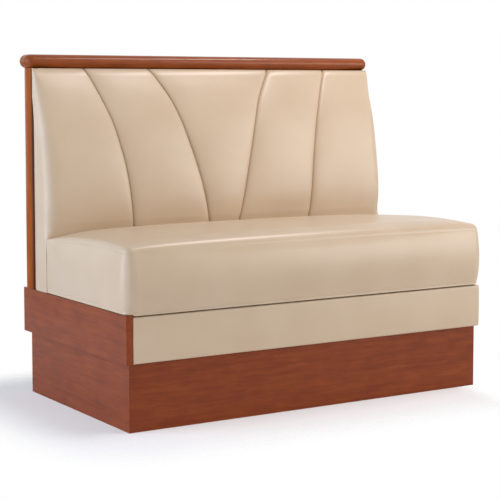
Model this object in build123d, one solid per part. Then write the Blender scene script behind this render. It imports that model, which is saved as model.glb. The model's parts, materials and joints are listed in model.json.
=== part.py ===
from build123d import *
import math
import os

# Restaurant booth bench: a wooden plinth, a seat box with an upholstered front
# rail, a pull-out sprung seat, and a fan-channelled back under a wooden top rail.
# Millimetres. X runs along the bench, the front faces -Y, Z is up. The origin is
# the middle of the floor rectangle that the bench fits in.

# Overall sizes
overall_height = 914.4
carcase_depth = 603.0
carcase_width = 1094.5
seat_overhang = 10.0
plinth_height = 169.8
box_top = 288.0
overrun = 5.0
fit_gap = 0.3

# Sheet stock
ply = 19.0
thin_ply = 9.0
rear_sheet = 6.0

# Plinth
plinth_setback = 23.6
rear_setback = 6.0
cross_spacing = 340.0
block_leg = 50.0
block_height = 110.0
block_lift = 20.0

# Seat box front rail and its covering
apron_top = 282.0
apron_padding_thick = 3.8
vinyl = 1.2
apron_edge_round = 4.5

# Top rail
rail_length = 1118.0
rail_depth = 67.0
rail_thick = 36.3
rail_nose_radius = 17.9
rail_corner_radius = 21.0

# End posts
post_width = 64.0
post_edge = 10.5
post_dome = 10.0
post_setback = 4.0
post_shoulder = 8.0
rail_screw_shares = (-0.85, -0.425, 0, 0.425, 0.85)

# Back frame
rib_foot_depth = 116.0
rib_head_depth = 41.0
batten = 19.0
batten_lift = 0.6

# Back upholstery
cover = 2.0
back_depth = 153.0
channel_rise = 6.0
back_corner_radius = 43.0
back_form_root = 20.0
foam_gap = 0.6
seam_gap = 0.4

# Seat frame and springs
seat_rail_height = 60.0
seat_edge_wrap = 4.5
seat_frame_corner_radius = 16.0
brace_height = 40.0
spring_count = 6
spring_wire = 3.8
spring_bend = 12.0
spring_run = 18.0
clip_plate = 0.8
clip_wall = 0.9
clip_length = 14.0
clip_tail = 6.5
clip_clearance = 0.1
pad_thick = 6.0

# Seat cushion
crown_height = 470.5
seat_rear_depth = 150.0
seat_corner_radius = 24.0
seat_edge_round = 16.0

# Pull-out seat tongues
tongue_width = 40.0
tongue_thick = 3.0
tongue_length = 62.0
tongue_reach = 32.0
tongue_spacing = 700.0

# Floor brackets
bracket_leg = 42.0
bracket_width = 40.0
bracket_thick = 3.0
bracket_inset = 187.25
anchor_offset = 24.0
anchor_hole_radius = 4.5

# Screws, bolts and nuts
screw_radius = 2.2
screw_head_radius = 4.2
screw_head_height = 2.6
screw_gap = 0.1
long_screw = 50.0
medium_screw = 32.0
short_screw = 16.0
bolt_radius = 4.0
bolt_head_flats = 13.0
bolt_head_height = 5.3
nut_height = 6.5
coach_screw_length = 34.0
bolt_tail = 2.5

# Places worked out from the sizes
overall_depth = carcase_depth + seat_overhang
rear_y = overall_depth / 2
front_y = rear_y - carcase_depth
frame_rear_y = rear_y - rear_setback
half_width = carcase_width / 2
panel_inner = half_width - ply
box_inner = panel_inner - ply
rail_bottom = overall_height - rail_thick
plate_bottom = rail_bottom - ply
plinth_front_y = front_y + plinth_setback
rail_board_front = front_y + vinyl + apron_padding_thick
rail_board_rear = rail_board_front + ply
box_rear_rail_front = frame_rear_y - ply
rib_foot_y = rear_y - rib_foot_depth
rib_head_y = rear_y - rib_head_depth
batten_top = box_top + batten_lift + batten
post_front_y = rear_y - post_setback - post_width
seat_bottom = box_top + fit_gap

# Fan back, read from the foot upwards. Each row holds a share of the height between
# the box and the seat's crown (below 0) or between the crown and the top rail (above
# 0), then shares of the back's depth, of half the width for both seams, and of the
# corner radius.
back_shares = [
    (-1.065, 0.926, 0.052, 0.500, 0.14),
    (-0.677, 0.926, 0.064, 0.508, 0.14),
    (-0.386, 0.926, 0.073, 0.514, 0.14),
    (-0.224, 0.922, 0.082, 0.520, 0.40),
    (-0.111, 0.965, 0.089, 0.524, 0.80),
    (0.0, 1.000, 0.096, 0.528, 1.00),
    (0.073, 0.997, 0.107, 0.534, 1.00),
    (0.218, 0.974, 0.131, 0.546, 1.00),
    (0.363, 0.930, 0.159, 0.561, 0.97),
    (0.508, 0.860, 0.190, 0.584, 0.92),
    (0.653, 0.770, 0.223, 0.612, 0.85),
    (0.797, 0.640, 0.265, 0.651, 0.78),
    (0.928, 0.505, 0.322, 0.692, 0.72),
    (1.029, 0.400, 0.372, 0.728, 0.68),
]

# Seat cushion, read from the middle to either end. Each row holds the share of half
# the width, then shares of the cushion's height that the foot is lifted, of the corner
# radius that the front draws in, and of the height of the front edge, crown and rear edge.
seat_shares = [
    (0.00, 0.00, 0.00, 0.942, 1.000, 0.893),
    (0.30, 0.00, 0.00, 0.941, 0.998, 0.893),
    (0.55, 0.00, 0.00, 0.937, 0.986, 0.890),
    (0.72, 0.00, 0.00, 0.925, 0.964, 0.872),
    (0.83, 0.00, 0.03, 0.912, 0.940, 0.838),
    (0.91, 0.00, 0.10, 0.892, 0.912, 0.795),
    (0.955, 0.00, 0.25, 0.868, 0.883, 0.765),
    (0.985, 0.01, 0.55, 0.842, 0.852, 0.735),
    (1.003, 0.04, 1.00, 0.800, 0.806, 0.690),
    (1.013, 0.16, 1.70, 0.725, 0.730, 0.615),
]
front_bow_share = 0.7
front_draw_share = 0.55
swell_share = 1.2
quarter_turn_share = 1 - math.sqrt(0.5)


def block(x_low, x_high, y_low, y_high, z_low, z_high):
    """A rectangular piece between its low and high corner."""
    place = Pos((x_low + x_high) / 2, (y_low + y_high) / 2, (z_low + z_high) / 2)
    return place * Box(x_high - x_low, y_high - y_low, z_high - z_low)


def sided(side, near, far, y_low, y_high, z_low, z_high):
    """A block on the left (-1) or right (1) end, near and far from the middle."""
    return block(min(side * near, side * far), max(side * near, side * far), y_low, y_high, z_low, z_high)


def plan_piece(points, z_low, z_high):
    """A piece cut to an outline seen from above."""
    outline = Plane.XY.offset(z_low) * Polygon(*points, align=None)
    return extrude(outline, amount=z_high - z_low, dir=(0, 0, 1))


def profile_piece(points, x_low, x_high):
    """A piece cut to an outline of Y and Z seen from the end."""
    outline = Plane.YZ.offset(x_low) * Polygon(*points, align=None)
    return extrude(outline, amount=x_high - x_low, dir=(1, 0, 0))


def at(point, outward):
    """Where a fastener sits: its head on the point, its head's top facing outward."""
    return Plane(origin=point, z_dir=outward).location


def screw(length, gap=0):
    """A countersunk screw hanging down from its head, or its hole with a gap."""
    shank = Pos(0, 0, -(length + gap) / 2) * Cylinder(screw_radius + gap, length + gap)
    head = Pos(0, 0, -screw_head_height / 2) * Cone(
        screw_radius + gap, screw_head_radius + gap, screw_head_height
    )
    return shank + head


def holes(places, length):
    """The holes for a set of screws."""
    return [place * screw(length, screw_gap) for place in places]


def cut(piece, tools):
    """A piece less each of a list of tools."""
    for tool in tools:
        piece = piece - tool
    return piece


def group(shapes):
    """Separate solids that share one node."""
    return Compound([solid for shape in shapes for solid in shape.solids()])


# Plinth

def plinth_outline():
    """Left, right, front and rear of the plinth."""
    return -panel_inner, half_width, plinth_front_y, frame_rear_y


def plinth_front():
    left, right, front, rear = plinth_outline()
    points = [(left, front), (right, front), (right - ply, front + ply), (left + ply, front + ply)]
    return cut(plan_piece(points, 0, plinth_height), bracket_screw_holes())


def plinth_side(side):
    left, right, front, rear = plinth_outline()
    edge = left if side < 0 else right
    points = [(edge, front), (edge - side * ply, front + ply), (edge - side * ply, rear), (edge, rear)]
    return plan_piece(points, 0, plinth_height)


def plinth_rear():
    left, right, front, rear = plinth_outline()
    board = block(left + ply, right - ply, rear - ply, rear, 0, plinth_height)
    return cut(board, bracket_screw_holes())


def plinth_cross(side):
    left, right, front, rear = plinth_outline()
    middle = side * cross_spacing / 2
    return block(middle - ply / 2, middle + ply / 2, front + ply, rear - ply, 0, plinth_height)


def corner_block(x, y, x_way, y_way, z_low, height):
    """A triangular glue block in an inside corner."""
    points = [(x, y), (x + x_way * block_leg, y), (x, y + y_way * block_leg)]
    return plan_piece(points, z_low, z_low + height)


def plinth_corner_blocks():
    left, right, front, rear = plinth_outline()
    corners = [
        (left + ply, front + ply, 1, 1),
        (right - ply, front + ply, -1, 1),
        (left + ply, rear - ply, 1, -1),
        (right - ply, rear - ply, -1, -1),
    ]
    return group([corner_block(*corner, block_lift, block_height) for corner in corners])


# Floor brackets

def bracket_places():
    """The X, the board face and the way into the plinth for each floor bracket."""
    left, right, front, rear = plinth_outline()
    faces = [(front + ply, 1), (rear - ply, -1)]
    return [(side * (half_width - bracket_inset), face, way) for side in (-1, 1) for face, way in faces]


def bracket_screw_places():
    places = []
    for x, face, way in bracket_places():
        for shift in (-1, 1):
            point = (x + shift * bracket_width / 4, face + way * bracket_thick, bracket_leg * 2 / 3)
            places.append(at(point, (0, way, 0)))
    return places


def bracket_screw_holes():
    return holes(bracket_screw_places(), short_screw)


def floor_bracket(x, face, way):
    low_x = x - bracket_width / 2
    high_x = x + bracket_width / 2
    ends = sorted((face, face + way * bracket_thick))
    feet = sorted((face, face + way * bracket_leg))
    upright = block(low_x, high_x, ends[0], ends[1], 0, bracket_leg)
    foot = block(low_x, high_x, feet[0], feet[1], 0, bracket_thick)
    anchor = Pos(x, face + way * anchor_offset, bracket_thick / 2)
    hole = anchor * Cylinder(anchor_hole_radius, bracket_thick + overrun)
    return cut(upright + foot - hole, bracket_screw_holes())


def floor_brackets():
    return group([floor_bracket(*place) for place in bracket_places()])


def floor_bracket_screws():
    return group([place * screw(short_screw) for place in bracket_screw_places()])


# Seat box

def rail_screw_places():
    """Through the front rail into both box ends, and through them into the rear rail."""
    heights = [plinth_height + (box_top - plinth_height) * share for share in (0.25, 0.75)]
    places = []
    for side in (-1, 1):
        for height in heights:
            edge_middle = side * (box_inner + ply / 2)
            places.append(at((edge_middle, rail_board_front, height), (0, -1, 0)))
            places.append(at((side * panel_inner, frame_rear_y - ply / 2, height), (side, 0, 0)))
    return places


def panel_screw_places(side):
    """From inside each box end into the panel outside it."""
    height = (plinth_height + box_top) / 2
    spots = [front_y + carcase_depth * share for share in (0.18, 0.36, 0.54)]
    return [at((side * box_inner, y, height), (-side, 0, 0)) for y in spots]


def box_end(side):
    board = sided(side, box_inner, panel_inner, rail_board_rear, frame_rear_y, plinth_height, box_top)
    board = cut(board, holes(rail_screw_places(), long_screw))
    board = cut(board, holes(panel_screw_places(side), medium_screw))
    return cut(board, coach_screw_holes())


def end_panel(side):
    front = front_y if side < 0 else rail_board_rear
    panel = sided(side, panel_inner, half_width, front, rear_y, plinth_height, box_top)
    return cut(panel, holes(panel_screw_places(side), medium_screw))


def rail_board_block():
    return block(
        -panel_inner, half_width - vinyl, rail_board_front, rail_board_rear,
        plinth_height + vinyl, apron_top - vinyl,
    )


def front_rail():
    return cut(rail_board_block(), holes(rail_screw_places(), long_screw))


def box_rear_rail():
    rail = block(-box_inner, box_inner, box_rear_rail_front, frame_rear_y, plinth_height, box_top)
    return cut(rail, holes(rail_screw_places(), long_screw))


def box_cross(side):
    middle = side * cross_spacing / 2
    board = block(
        middle - ply / 2, middle + ply / 2, rail_board_rear, box_rear_rail_front, plinth_height, box_top
    )
    return cut(board, bolt_holes())


def box_corner_blocks():
    lift = (box_top - plinth_height - block_height) / 2
    corners = [(side * box_inner, rail_board_rear, -side, 1) for side in (-1, 1)]
    return group([corner_block(*corner, plinth_height + lift, block_height) for corner in corners])


def wrapped_front(skin):
    """The front rail with its padding, in the space inside a skin of some thickness."""
    body = block(
        -panel_inner, half_width - skin, front_y + skin, rail_board_rear,
        plinth_height + skin, apron_top - skin,
    )
    front = body.edges().group_by(Axis.Y)[0]
    free = front.sort_by(Axis.X)[1:]
    return fillet(free, apron_edge_round - skin)


def apron_cover():
    inside = wrapped_front(vinyl)
    return wrapped_front(0) - inside


def apron_padding():
    return wrapped_front(vinyl) - rail_board_block()


# Back frame

def rib_outline(foot):
    """Y and Z of a back rib: its foot hooks over the rear rail when it goes into the box."""
    points = [(rib_foot_y, foot), (rib_foot_y, batten_top), (rib_head_y, plate_bottom)]
    points += [(frame_rear_y, plate_bottom), (frame_rear_y, box_top)]
    if foot < box_top:
        points += [(box_rear_rail_front, box_top), (box_rear_rail_front, foot)]
    return points


def rib_side(rib):
    """Which side of the middle a rib stands on; ribs 0 and 3 are the outer ones."""
    return -1 if rib < 2 else 1


def rib_span(rib):
    """The X span of a rib, beside the board that it is fixed to."""
    near = cross_spacing / 2 + ply / 2 if rib in (1, 2) else box_inner - ply
    side = rib_side(rib)
    return sorted((side * near, side * (near + ply)))


def rib_fixing_places(ribs):
    """Two fixings through each rib and into the board beside it, heads on the rib."""
    heights = [plinth_height + (box_top - plinth_height) * share for share in (0.3, 0.7)]
    spots = [rib_foot_y + (box_rear_rail_front - rib_foot_y) * share for share in (0.35, 0.7)]
    places = []
    for rib in ribs:
        low, high = rib_span(rib)
        # An outer rib's free face looks at the middle, an inner rib's looks away from it
        outward = -rib_side(rib) if rib in (0, 3) else rib_side(rib)
        face = high if outward > 0 else low
        places += [at((face, y, z), (outward, 0, 0)) for y, z in zip(spots, heights)]
    return places


def bolt_places():
    return rib_fixing_places((1, 2))


def coach_screw_places():
    return rib_fixing_places((0, 3))


def plain_shank(length, gap=0):
    return Pos(0, 0, -(length + gap) / 2) * Cylinder(bolt_radius + gap, length + gap)


def bolt_holes():
    return [place * plain_shank(2 * ply, screw_gap) for place in bolt_places()]


def coach_screw_holes():
    return [place * plain_shank(coach_screw_length, screw_gap) for place in coach_screw_places()]


def hexagon(flats, height):
    return extrude(RegularPolygon(flats / 2, 6, major_radius=False), amount=height)


def back_bolts():
    one = plain_shank(2 * ply + nut_height + bolt_tail) + hexagon(bolt_head_flats, bolt_head_height)
    return group([place * one for place in bolt_places()])


def coach_screws():
    one = plain_shank(coach_screw_length) + hexagon(bolt_head_flats, bolt_head_height)
    return group([place * one for place in coach_screw_places()])


def back_bolt_nuts():
    nut = Pos(0, 0, -2 * ply - nut_height) * hexagon(bolt_head_flats, nut_height)
    bore = Pos(0, 0, -2 * ply - nut_height / 2) * Cylinder(bolt_radius + screw_gap, nut_height + overrun)
    return group([place * (nut - bore) for place in bolt_places()])


def back_rib(rib):
    low, high = rib_span(rib)
    return cut(profile_piece(rib_outline(plinth_height), low, high), bolt_holes() + coach_screw_holes())


def back_end(side):
    low, high = sorted((side * box_inner, side * panel_inner))
    return profile_piece(rib_outline(box_top), low, high)


def back_batten():
    return block(
        -panel_inner, panel_inner, rib_foot_y - batten, rib_foot_y, box_top + batten_lift, batten_top
    )


def back_board():
    points = [
        (rib_foot_y - thin_ply, batten_top),
        (rib_foot_y, batten_top),
        (rib_head_y, plate_bottom),
        (rib_head_y - thin_ply, plate_bottom),
    ]
    return profile_piece(points, -panel_inner, panel_inner)


def rail_fix_places():
    """Up through the top plate into the top rail."""
    y = (rib_head_y + frame_rear_y) / 2
    return [at((panel_inner * share, y, plate_bottom), (0, 0, -1)) for share in rail_screw_shares]


def back_top_plate():
    plate = block(
        -panel_inner, panel_inner, rib_head_y - thin_ply, frame_rear_y, plate_bottom, rail_bottom
    )
    return cut(plate, holes(rail_fix_places(), medium_screw))


def outer_back_panel():
    return block(-panel_inner, panel_inner, frame_rear_y, rear_y, plinth_height, rail_bottom)


def end_post(side):
    """A strip with a segment dome outside, its rear shoulder eased under the top rail."""
    flat = panel_inner
    edge = flat + post_edge
    low_y = post_front_y
    high_y = post_front_y + post_width
    middle = (low_y + high_y) / 2
    outline = [
        Line((side * flat, high_y), (side * flat, low_y)),
        Line((side * flat, low_y), (side * edge, low_y)),
        ThreePointArc((side * edge, low_y), (side * (edge + post_dome), middle), (side * edge, high_y)),
        Line((side * edge, high_y), (side * flat, high_y)),
    ]
    section = Plane.XY.offset(box_top) * make_face(outline)
    post = extrude(section, amount=rail_bottom - box_top, dir=(0, 0, 1))
    rear_top = post.edges().filter_by(Axis.X).group_by(Axis.Z)[-1].sort_by(Axis.Y)[-1]
    return chamfer(rear_top, post_shoulder)


def top_rail():
    bar = block(
        -rail_length / 2, rail_length / 2, rear_y - rail_depth, rear_y, rail_bottom, overall_height
    )
    bar = fillet(bar.edges().filter_by(Axis.Z), rail_corner_radius)
    rims = bar.edges().group_by(Axis.Z)
    bar = fillet(rims[0] + rims[-1], rail_nose_radius)
    return cut(bar, holes(rail_fix_places(), medium_screw))


def top_rail_screws():
    return group([place * screw(medium_screw) for place in rail_fix_places()])


def carcase_screws():
    return group([place * screw(long_screw) for place in rail_screw_places()])


def panel_screws():
    places = panel_screw_places(-1) + panel_screw_places(1)
    return group([place * screw(medium_screw) for place in places])


# Back upholstery

def back_levels():
    """Height of each row of the fan back."""
    spans = [crown_height - box_top if row[0] < 0 else rail_bottom - crown_height for row in back_shares]
    return [crown_height + row[0] * span for row, span in zip(back_shares, spans)]


def slice_face(runs, place):
    """A face from lines and arcs, each a list of two or three points put in place."""
    edges = []
    for run in runs:
        points = [place(point) for point in run]
        edges.append(Line(*points) if len(points) == 2 else ThreePointArc(*points))
    return Face(Wire(edges))


def level(z):
    """Puts a plan point at a height."""
    return lambda point: (point[0], point[1], z)


def backward(runs):
    """The same runs from the far end to the near one."""
    return [list(reversed(run)) for run in reversed(runs)]


def groove_y(row, inset):
    """The depth of the seams at a row, under a skin of some thickness."""
    return rear_y - row[1] * back_depth + inset


def seam_marks(row):
    """X of the four seams at a row."""
    inner = row[2] * half_width
    outer = row[3] * half_width
    return [-outer, -inner, inner, outer]


def channel_arc(row, low, high, inset):
    """The swell of one channel from seam to seam."""
    groove = groove_y(row, inset)
    return [(low, groove), ((low + high) / 2, groove - channel_rise), (high, groove)]


def end_runs(row, way, inset):
    """An end channel's swell, the front corner and the side back to the posts."""
    groove = groove_y(row, inset)
    crest = groove - channel_rise
    side = half_width - inset
    turn = back_corner_radius * row[4] - inset
    slack = turn * quarter_turn_share
    outer = seam_marks(row)[3]
    shoulder = side - turn
    swell = groove - channel_rise * swell_share
    root = rear_y - back_form_root
    return [
        [(way * outer, groove), (way * (shoulder + outer) / 2, swell), (way * shoulder, crest)],
        [(way * shoulder, crest), (way * (side - slack), crest + slack), (way * side, crest + turn)],
        [(way * side, crest + turn), (way * side, root)],
    ]


def skin_slice(row, z, channel):
    """A slice through the vinyl of one channel: outside runs, then inside runs back."""
    if channel in (0, 4):
        way = -1 if channel == 0 else 1
        outside = end_runs(row, way, 0)
        inside = end_runs(row, way, cover)
    else:
        low, high = seam_marks(row)[channel - 1:channel + 1]
        outside = [channel_arc(row, low, high, 0)]
        inside = [channel_arc(row, low, high, cover)]
    turn = [outside[-1][-1], inside[-1][-1]]
    close = [inside[0][0], outside[0][0]]
    return slice_face([*outside, turn, *backward(inside), close], level(z))


def foam_slice(row, z, channel):
    """A slice through the foam of one channel, from its swell back past the board."""
    inset = cover + foam_gap
    root = rear_y - back_form_root
    marks = seam_marks(row)
    if channel in (0, 4):
        way = -1 if channel == 0 else 1
        runs = end_runs(row, way, inset)
        start = runs[0][0]
        near = start[0] + way * seam_gap
        runs[0] = [(near, start[1]), *runs[0][1:]]
        rear = [runs[-1][-1], (near, root)]
        return slice_face([*runs, rear, [(near, root), (near, start[1])]], level(z))
    low = marks[channel - 1] + seam_gap
    high = marks[channel] - seam_gap
    groove = groove_y(row, inset)
    sides = [[(high, groove), (high, root)], [(high, root), (low, root)], [(low, root), (low, groove)]]
    return slice_face([channel_arc(row, low, high, inset), *sides], level(z))


def back_room():
    """The height that the back upholstery fills."""
    return block(
        -carcase_width, carcase_width, -overall_depth, overall_depth,
        box_top + batten_lift, rail_bottom - fit_gap,
    )


def back_frame_zone():
    """What the wooden back frame and the posts fill, with a fit gap in front of them."""
    points = [
        (rib_foot_y - batten - fit_gap, box_top - overrun),
        (rib_foot_y - batten - fit_gap, batten_top + fit_gap),
        (rib_foot_y - thin_ply - fit_gap, batten_top + fit_gap),
        (rib_head_y - thin_ply - fit_gap, plate_bottom),
        (rib_head_y - thin_ply - fit_gap, rail_bottom + overrun),
        (rear_y + overrun, rail_bottom + overrun),
        (rear_y + overrun, box_top - overrun),
    ]
    frame = profile_piece(points, -panel_inner - fit_gap, panel_inner + fit_gap)
    posts = [
        sided(side, box_inner, half_width + post_dome, post_front_y - fit_gap, rear_y + overrun,
              box_top - overrun, rail_bottom + overrun)
        for side in (-1, 1)
    ]
    return [frame, *posts]


def back_cover():
    """Five sewn panels of vinyl, seam to seam."""
    panels = []
    for channel in range(5):
        slices = [skin_slice(row, z, channel) for row, z in zip(back_shares, back_levels())]
        panels.append(cut(loft(slices, ruled=True) & back_room(), back_frame_zone()))
    return group(panels)


def back_foam(channel):
    slices = [foam_slice(row, z, channel) for row, z in zip(back_shares, back_levels())]
    return cut(loft(slices, ruled=True) & back_room(), back_frame_zone())


# Seat

def seat_outline():
    """Left, right, front and rear of the wooden seat frame."""
    side = half_width - seat_edge_wrap
    rear = rear_y - seat_rear_depth - seat_edge_wrap
    return -side, side, front_y + seat_edge_wrap, rear


def seat_slice(row, way, inset):
    """A slice across the cushion: bowed front, rounded front edge, crown, rear edge, rear."""
    width_share, lift_share, draw_share, front_share, crown_share, rear_share = row
    height = crown_height - seat_bottom
    last = seat_shares[-1][0]
    x = way * (width_share * half_width - inset * width_share / last)
    draw = draw_share * seat_corner_radius
    foot = seat_bottom + lift_share * height - overrun
    front = front_y - seat_overhang * (1 - front_bow_share) + draw * front_draw_share + inset
    bow = front - seat_overhang * front_bow_share
    rear = rear_y - seat_rear_depth - inset
    front_top = seat_bottom + front_share * height - inset
    crown = seat_bottom + crown_share * height - inset
    rear_top = seat_bottom + rear_share * height - inset
    turn = seat_edge_round - inset / 2
    slack = turn * quarter_turn_share
    front_start = (front, front_top - turn)
    front_end = (front + turn, front_top)
    rear_start = (rear - turn, rear_top)
    rear_end = (rear, rear_top - turn)
    runs = [
        [(front, foot), (bow, (foot + front_start[1]) / 2), front_start],
        [front_start, (front + slack, front_top - slack), front_end],
        [front_end, ((front_end[0] + rear_start[0]) / 2, crown), rear_start],
        [rear_start, (rear - slack, rear_top - slack), rear_end],
        [rear_end, (rear, foot)],
        [(rear, foot), (front, foot)],
    ]
    return slice_face(runs, lambda point: (x, point[0], point[1]))


def seat_form(inset):
    """The whole cushion under a skin of some thickness, open to just below the foot."""
    ends = [(row, -1) for row in reversed(seat_shares[1:])] + [(row, 1) for row in seat_shares]
    return loft([seat_slice(row, way, inset) for row, way in ends])


def above_seat_bottom():
    return block(
        -carcase_width, carcase_width, -overall_depth, overall_depth, seat_bottom, overall_height
    )


def seat_cover():
    return (seat_form(0) & above_seat_bottom()) - seat_form(cover)


def seat_frame_top():
    return seat_bottom + seat_rail_height


def pad_bottom():
    return spring_height() + spring_wire / 2 + clip_clearance + clip_wall + fit_gap


def seat_foam():
    left, right, front, rear = seat_outline()
    frame_room = block(left - fit_gap, right + fit_gap, front - fit_gap, rear + fit_gap,
                       seat_bottom - overrun, pad_bottom() + pad_thick)
    return (seat_form(cover + fit_gap) & above_seat_bottom()) - frame_room


def eased_corners(board, places):
    """A board of the seat frame with its outside corners rounded at the front, rear or both."""
    rows = board.edges().filter_by(Axis.Z).group_by(Axis.Y)
    return fillet([edge for place in places for edge in rows[place]], seat_frame_corner_radius)


def seat_spring_pad():
    left, right, front, rear = seat_outline()
    pad = block(left, right, front, rear, pad_bottom(), pad_bottom() + pad_thick)
    return eased_corners(pad, (0, -1))


def seat_frame_front():
    left, right, front, rear = seat_outline()
    board = block(left, right, front, front + ply, seat_bottom, seat_frame_top())
    return eased_corners(board, (0,))


def seat_frame_rear():
    left, right, front, rear = seat_outline()
    board = block(left, right, rear - ply, rear, seat_bottom, seat_frame_top())
    return cut(eased_corners(board, (-1,)), holes(tongue_screw_places(), medium_screw))


def seat_frame_end(side):
    left, right, front, rear = seat_outline()
    return sided(side, right - ply, right, front + ply, rear - ply, seat_bottom, seat_frame_top())


def seat_brace(side):
    left, right, front, rear = seat_outline()
    middle = side * cross_spacing / 2
    return block(middle - ply / 2, middle + ply / 2, front + ply, rear - ply,
                 seat_bottom, seat_bottom + brace_height)


def spring_places():
    """X of each spring, evenly spread along the seat."""
    left, right, front, rear = seat_outline()
    pitch = (right - left) / spring_count
    return [left + pitch * (number + 0.5) for number in range(spring_count)]


def spring_height():
    return seat_frame_top() + clip_plate + clip_clearance + spring_wire / 2


def spring_ends():
    """Y of a spring's first and last run, over the middles of the front and rear boards."""
    left, right, front, rear = seat_outline()
    return front + ply / 2, rear - ply / 2


def zigzag_spring(x):
    """One wire: straight runs along X, joined by half turns on alternate sides."""
    z = spring_height()
    y, last = spring_ends()
    turns = round((last - y) / (2 * spring_bend))
    bend = (last - y) / turns / 2
    half = spring_run / 2
    edges = []
    side = -1
    for turn in range(turns + 1):
        edges.append(Line((x + side * half, y, z), (x - side * half, y, z)))
        side = -side
        if turn < turns:
            end = x + side * half
            crest = (end + side * bend, y + bend, z)
            edges.append(ThreePointArc((end, y, z), crest, (end, y + 2 * bend, z)))
            y = y + 2 * bend
    path = Wire(edges)
    ring = Plane(origin=path @ 0, z_dir=path % 0) * Circle(spring_wire / 2)
    return sweep(ring, path=path)


def seat_springs():
    return group([zigzag_spring(x) for x in spring_places()])


def spring_clip(x, y, way):
    """A nailed strip that curls over the spring's end run, its tail to the frame's edge."""
    z = spring_height()
    bore = spring_wire / 2 + clip_clearance
    shell = bore + clip_wall
    low = seat_frame_top()
    turn = Plane.YZ.offset(x - clip_length / 2) * Pos(y, z) * Circle(shell)
    eye = Plane.YZ.offset(x - clip_length / 2) * Pos(y, z) * Circle(bore)
    curl = extrude(turn, amount=clip_length) - extrude(eye, amount=clip_length)
    left, right = x - clip_length / 2, x + clip_length / 2
    inside = sorted((y, y - way * (shell + overrun)))
    open_side = block(left - overrun, right + overrun, inside[0], inside[1], low - overrun, z)
    under = block(left - overrun, right + overrun, y - shell - overrun, y + shell + overrun,
                  low - overrun, low)
    tail = sorted((y, y + way * clip_tail))
    plate = block(left, right, tail[0], tail[1], low, low + clip_plate)
    return cut(curl, [open_side, under]) + (plate - extrude(eye, amount=clip_length))


def seat_spring_clips():
    first, last = spring_ends()
    clips = []
    for x in spring_places():
        clips.append(spring_clip(x, first, -1))
        clips.append(spring_clip(x, last, 1))
    return group(clips)


# Seat tongues

def tongue_places():
    return [side * tongue_spacing / 2 for side in (-1, 1)]


def tongue_screw_places():
    left, right, front, rear = seat_outline()
    spots = []
    for x in tongue_places():
        for shift in (-1, 1):
            point = (x + shift * tongue_width / 4, rear - ply / 2, seat_bottom - tongue_thick)
            spots.append(at(point, (0, 0, -1)))
    return spots


def seat_tongue(x):
    """A steel strip under the seat's rear rail that slips below the back's batten."""
    left, right, front, rear = seat_outline()
    strip = block(
        x - tongue_width / 2, x + tongue_width / 2,
        rear + tongue_reach - tongue_length, rear + tongue_reach,
        seat_bottom - tongue_thick, seat_bottom,
    )
    rear_corners = strip.edges().filter_by(Axis.Z).group_by(Axis.Y)[-1]
    strip = chamfer(rear_corners, tongue_width / 6)
    return cut(strip, holes(tongue_screw_places(), medium_screw))


def seat_tongues():
    return group([seat_tongue(x) for x in tongue_places()])


def seat_tongue_screws():
    return group([place * screw(medium_screw) for place in tongue_screw_places()])


# Output

def save(name, shape):
    export_step(shape, os.path.join("parts", name + ".step"))


def main():
    os.makedirs("parts", exist_ok=True)

    save("plinth_front", plinth_front())
    save("plinth_rear", plinth_rear())
    for name, side in (("left", -1), ("right", 1)):
        save("plinth_" + name, plinth_side(side))
        save("plinth_cross_" + name, plinth_cross(side))
        save("box_end_" + name, box_end(side))
        save("end_panel_" + name, end_panel(side))
        save("box_cross_" + name, box_cross(side))
        save("back_end_" + name, back_end(side))
        save("end_post_" + name, end_post(side))
        save("seat_frame_" + name, seat_frame_end(side))
        save("seat_brace_" + name, seat_brace(side))
    save("plinth_corner_blocks", plinth_corner_blocks())
    save("floor_brackets", floor_brackets())
    save("floor_bracket_screws", floor_bracket_screws())

    save("front_rail", front_rail())
    save("front_rail_padding", apron_padding())
    save("front_rail_cover", apron_cover())
    save("box_rear_rail", box_rear_rail())
    save("box_corner_blocks", box_corner_blocks())
    save("carcase_screws", carcase_screws())
    save("panel_screws", panel_screws())

    for rib in range(4):
        save("back_rib_" + str(rib + 1), back_rib(rib))
    save("back_bolts", back_bolts())
    save("back_bolt_nuts", back_bolt_nuts())
    save("coach_screws", coach_screws())
    save("back_batten", back_batten())
    save("back_board", back_board())
    save("back_top_plate", back_top_plate())
    save("outer_back_panel", outer_back_panel())
    save("top_rail", top_rail())
    save("top_rail_screws", top_rail_screws())

    for channel in range(5):
        save("back_foam_" + str(channel + 1), back_foam(channel))
    save("back_cover", back_cover())

    save("seat_frame_front", seat_frame_front())
    save("seat_frame_rear", seat_frame_rear())
    save("seat_springs", seat_springs())
    save("seat_spring_clips", seat_spring_clips())
    save("seat_spring_pad", seat_spring_pad())
    save("seat_foam", seat_foam())
    save("seat_cover", seat_cover())
    save("seat_tongues", seat_tongues())
    save("seat_tongue_screws", seat_tongue_screws())


main()
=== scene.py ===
import json
import math

import bmesh
import bpy
import numpy as np
from mathutils import Matrix, Vector


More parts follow.
